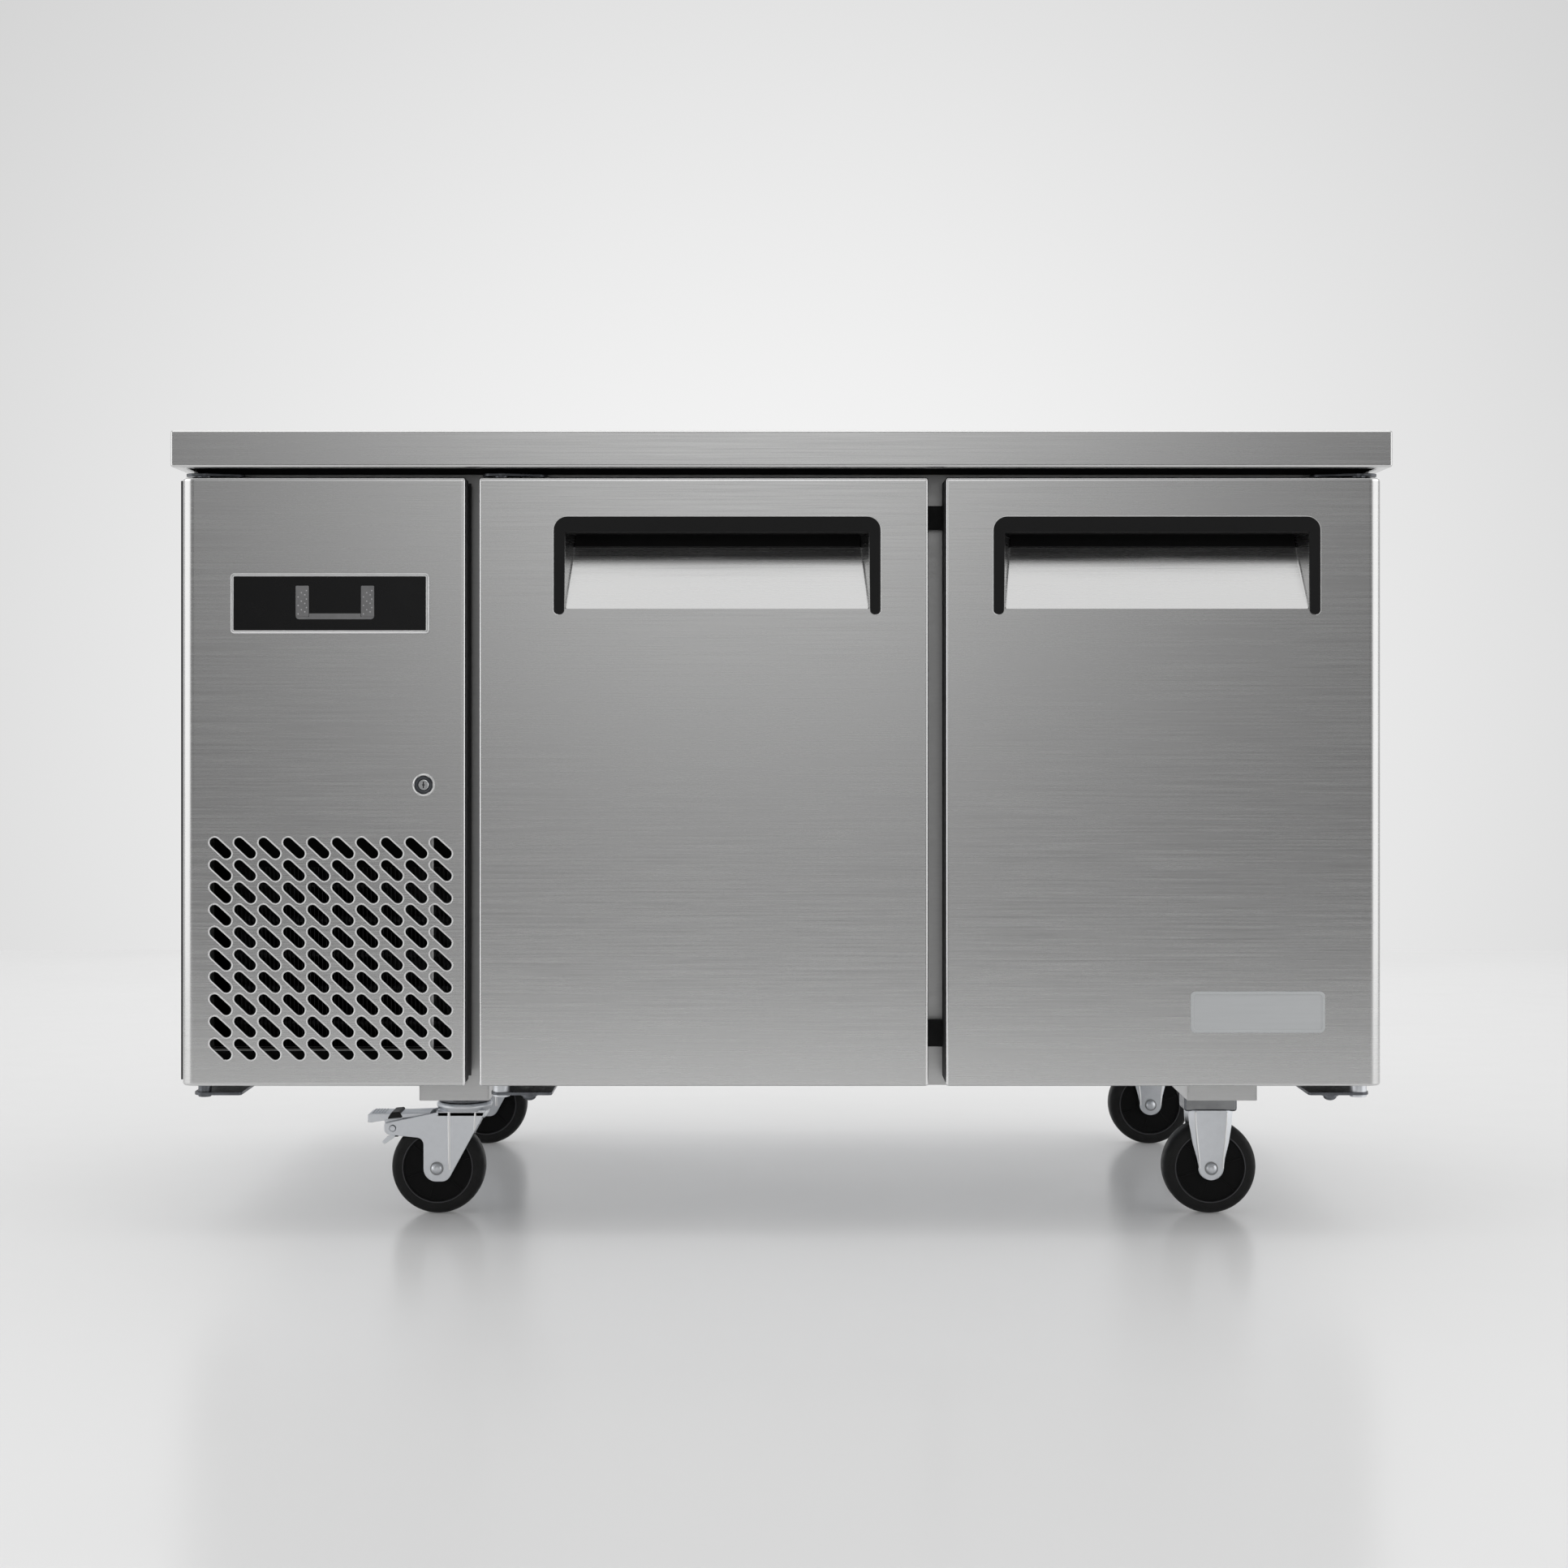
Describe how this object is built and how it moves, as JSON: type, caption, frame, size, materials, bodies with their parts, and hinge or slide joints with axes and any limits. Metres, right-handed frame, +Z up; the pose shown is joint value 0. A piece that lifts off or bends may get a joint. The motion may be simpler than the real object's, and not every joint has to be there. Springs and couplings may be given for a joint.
{
  "type": "undercounter refrigerator",
  "caption": "Low stainless counter refrigerator with hinged doors, recessed pull handles, a slotted machine panel with a key lock at one side, shelves inside and casters below.",
  "frame": {"origin": "on the floor under the middle of the worktop", "axes": "+X along the worktop's length to the right as seen from the front, +Y from the doors to the back, +Z up"},
  "size_m": [1.2, 0.7, 0.8],
  "materials": {
    "steel": "fine horizontal brushing",
    "zinc": "zinc plated",
    "foam": "rigid foam",
    "lining": "smooth lining",
    "dark_metal": "dark satin",
    "copper": "drawn copper",
    "black_plastic": "satin black",
    "chrome": "bright",
    "black_glass": "gloss black",
    "grey_key": "satin grey",
    "seal": "soft matt",
    "tyre": "matt"
  },
  "bodies": {
    "cabinet": {"worktop": "steel", "outer_shell": "steel", "front_frame": "steel", "evaporator_cover": "steel", "centre_shelf_support": "steel", "left_door_top_hinge": "steel", "left_door_bottom_hinge": "steel", "right_door_top_hinge": "steel", "right_door_bottom_hinge": "steel", "panel_top_hinge": "steel", "panel_bottom_hinge": "steel", "partition_panel": "zinc", "bottom_panel": "zinc", "left_caster_rail": "zinc", "right_caster_rail": "zinc", "unit_tray": "zinc", "condenser_coil": "zinc", "fan_shroud": "zinc", "condenser_fan_motor": "zinc", "evaporator_coil": "zinc", "front_left_caster_plate": "zinc", "rear_left_caster_plate": "zinc", "front_right_caster_fork": "zinc", "front_right_caster_axle": "zinc", "rear_right_caster_fork": "zinc", "rear_right_caster_axle": "zinc", "insulation": "foam", "inner_liner": "lining", "compressor": "dark_metal", "suction_pipe": "copper", "evaporator_fan_motor": "black_plastic", "cord_gland": "black_plastic", "left_shelf": "chrome", "right_shelf": "chrome"},
    "left_door": {"left_door_skin": "steel", "left_door_inner": "lining", "left_door_gasket": "seal", "left_door_handle_trim": "black_plastic"},
    "right_door": {"right_door_skin": "steel", "right_door_inner": "lining", "right_door_gasket": "seal", "right_door_handle_trim": "black_plastic"},
    "machine_panel": {"machine_panel": "steel", "display_bezel": "chrome", "controller": "black_glass", "lock_body": "chrome"},
    "lock": {"lock_plug": "chrome"},
    "left_key": {"left_key": "grey_key"},
    "right_key": {"right_key": "grey_key"},
    "condenser_fan": {"condenser_fan": "black_plastic"},
    "evaporator_fan": {"evaporator_fan": "black_plastic"},
    "front_left_swivel": {"front_left_caster_fork": "zinc", "front_left_caster_axle": "zinc"},
    "front_left_brake": {"front_left_brake_pedal": "dark_metal"},
    "front_left_wheel": {"front_left_wheel": "tyre"},
    "rear_left_swivel": {"rear_left_caster_fork": "zinc", "rear_left_caster_axle": "zinc"},
    "rear_left_wheel": {"rear_left_wheel": "tyre"},
    "front_right_wheel": {"front_right_wheel": "tyre"},
    "rear_right_wheel": {"rear_right_wheel": "tyre"}
  },
  "joints": [
    {"name": "left_door_hinge", "type": "hinge", "parent": "cabinet", "child": "left_door", "pos_m": [-0.279, -0.312, 0.45], "axis": [0, 0, -1], "range_deg": [0, 110]},
    {"name": "right_door_hinge", "type": "hinge", "parent": "cabinet", "child": "right_door", "pos_m": [0.5743, -0.312, 0.45], "axis": [0, 0, 1], "range_deg": [0, 110]},
    {"name": "machine_panel_hinge", "type": "hinge", "parent": "cabinet", "child": "machine_panel", "pos_m": [-0.5743, -0.312, 0.45], "axis": [0, 0, -1], "range_deg": [0, 110]},
    {"name": "lock_turn", "type": "hinge", "parent": "machine_panel", "child": "lock", "pos_m": [-0.3534, -0.332, 0.4513], "axis": [0, -1, 0], "range_deg": [0, 90]},
    {"name": "left_key_press", "type": "slide", "parent": "machine_panel", "child": "left_key", "axis": [0, 1, 0], "range_m": [0, 0.0006], "stiffness_N_per_m": 800},
    {"name": "right_key_press", "type": "slide", "parent": "machine_panel", "child": "right_key", "axis": [0, 1, 0], "range_m": [0, 0.0006], "stiffness_N_per_m": 800},
    {"name": "condenser_fan_spin", "type": "hinge", "parent": "cabinet", "child": "condenser_fan", "pos_m": [-0.4454, -0.19, 0.2565], "axis": [0, 1, 0], "continuous": true},
    {"name": "evaporator_fan_spin", "type": "hinge", "parent": "cabinet", "child": "evaporator_fan", "pos_m": [-0.2, -0.1, 0.5986], "axis": [1, 0, 0], "continuous": true},
    {"name": "front_left_caster_swivel", "type": "hinge", "parent": "cabinet", "child": "front_left_swivel", "pos_m": [-0.332, -0.181, 0.11], "axis": [0, 0, 1], "continuous": true},
    {"name": "front_left_brake_press", "type": "hinge", "parent": "front_left_swivel", "child": "front_left_brake", "pos_m": [-0.4045, -0.181, 0.0906], "axis": [0, -1, 0], "range_deg": [0, 8]},
    {"name": "front_left_wheel_roll", "type": "hinge", "parent": "front_left_swivel", "child": "front_left_wheel", "pos_m": [-0.3585, -0.181, 0.04873], "axis": [0, 1, 0], "continuous": true},
    {"name": "rear_left_caster_swivel", "type": "hinge", "parent": "cabinet", "child": "rear_left_swivel", "pos_m": [-0.332, 0.249, 0.11], "axis": [0, 0, 1], "continuous": true},
    {"name": "rear_left_wheel_roll", "type": "hinge", "parent": "rear_left_swivel", "child": "rear_left_wheel", "pos_m": [-0.3585, 0.249, 0.04873], "axis": [0, 1, 0], "continuous": true},
    {"name": "front_right_wheel_roll", "type": "hinge", "parent": "cabinet", "child": "front_right_wheel", "pos_m": [0.447, -0.181, 0.04873], "axis": [0, 1, 0], "continuous": true},
    {"name": "rear_right_wheel_roll", "type": "hinge", "parent": "cabinet", "child": "rear_right_wheel", "pos_m": [0.447, 0.249, 0.04873], "axis": [0, 1, 0], "continuous": true}
  ]
}
